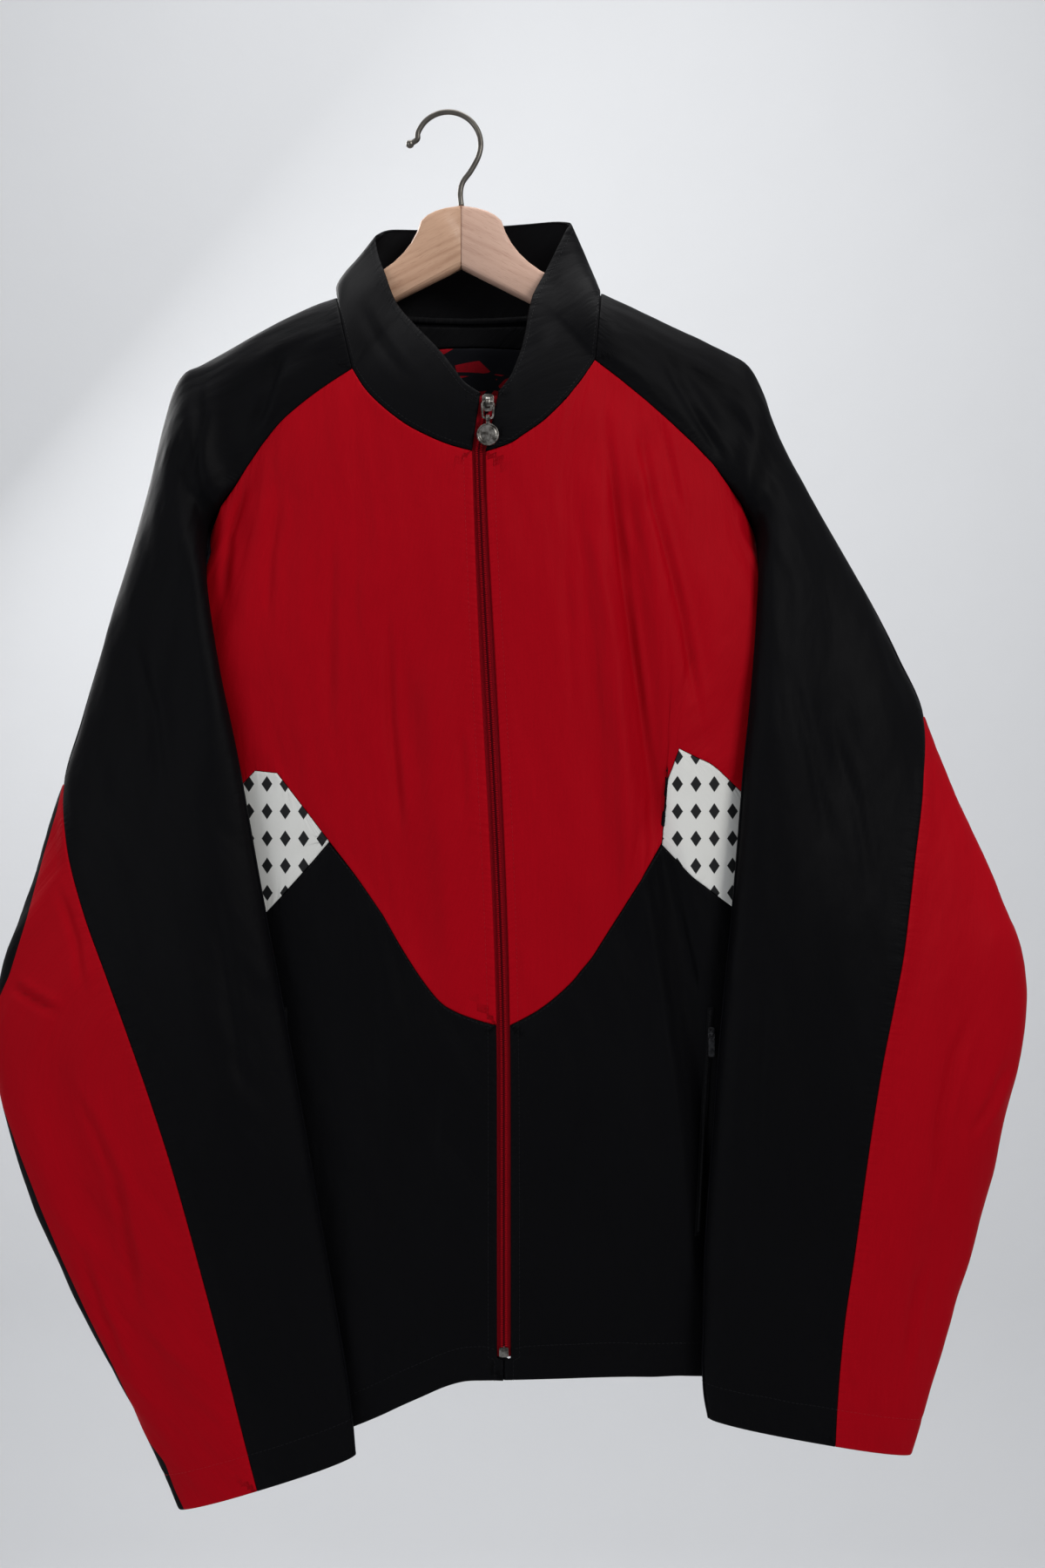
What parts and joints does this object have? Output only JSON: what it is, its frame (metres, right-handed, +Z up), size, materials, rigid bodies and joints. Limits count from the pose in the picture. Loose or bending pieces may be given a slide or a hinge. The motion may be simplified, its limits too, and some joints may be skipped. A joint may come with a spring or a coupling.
{
  "type": "track jacket on a hanger",
  "caption": "Zipped nylon track jacket with raglan sleeves, stand collar and side pockets, hanging open at the neck on a wooden hanger with a wire hook.",
  "frame": {"origin": "inside top of the hanger's hook, where it rests on a rail, peg or screw", "axes": "+Z up; +X towards the wearer's left sleeve; the front faces -Y and the back faces +Y"},
  "size_m": [0.7322, 0.1166, 0.9965],
  "materials": {
    "red_cloth": "crisp matt crimson nylon",
    "black_cloth": "crisp matt black nylon",
    "white_cloth": "crisp matt white nylon",
    "printed_lining": "navy lining with a plain red shard print",
    "zip_red": "woven red tape and coil",
    "zip_black": "woven black tape and coil",
    "antique_metal": "antique silver, rubbed",
    "hook_steel": "dark drawn steel wire",
    "wood": "pale beech, clear and matt"
  },
  "bodies": {
    "jacket": {"back": "black_cloth", "collar": "black_cloth", "neck_facing": "black_cloth", "lining": "printed_lining", "zip_tape_right": "zip_red", "zip_tape_left": "zip_red", "zip_chain": "zip_red", "zip_stop": "antique_metal", "slider": "antique_metal", "chest_right": "red_cloth", "chest_left": "red_cloth", "flash_right": "white_cloth", "flash_left": "white_cloth", "lower_front_right": "black_cloth", "lower_front_left": "black_cloth", "sleeve_front_right": "black_cloth", "sleeve_front_left": "black_cloth", "sleeve_back_right": "black_cloth", "sleeve_back_left": "black_cloth", "sleeve_gore_right": "red_cloth", "sleeve_gore_left": "red_cloth", "pocket_zip_right": "zip_black", "pocket_zip_left": "zip_black", "pocket_slider_right": "antique_metal", "pocket_slider_left": "antique_metal", "hanger_wood_right": "wood", "hanger_wood_left": "wood", "hook": "hook_steel", "pocket_pull_right": "antique_metal"},
    "pull_link": {"pull_link": "antique_metal"},
    "pull_disc": {"pull_disc": "antique_metal"},
    "pocket_pull_left": {"pocket_pull_left": "antique_metal"}
  },
  "joints": [
    {"name": "pull_link_swing", "type": "hinge", "parent": "jacket", "child": "pull_link", "pos_m": [0.0309, -0.06616, -0.221], "axis": [-1, 0, 0], "range_deg": [0, 120]},
    {"name": "pull_disc_swing", "type": "hinge", "parent": "pull_link", "child": "pull_disc", "pos_m": [0.0309, -0.06616, -0.2322], "axis": [-1, 0, 0], "range_deg": [0, 80]},
    {"name": "pocket_pull_left_swing", "type": "hinge", "parent": "jacket", "child": "pocket_pull_left", "pos_m": [0.1865, -0.0536, -0.658], "axis": [-1, 0, 0], "range_deg": [0, 120]}
  ]
}
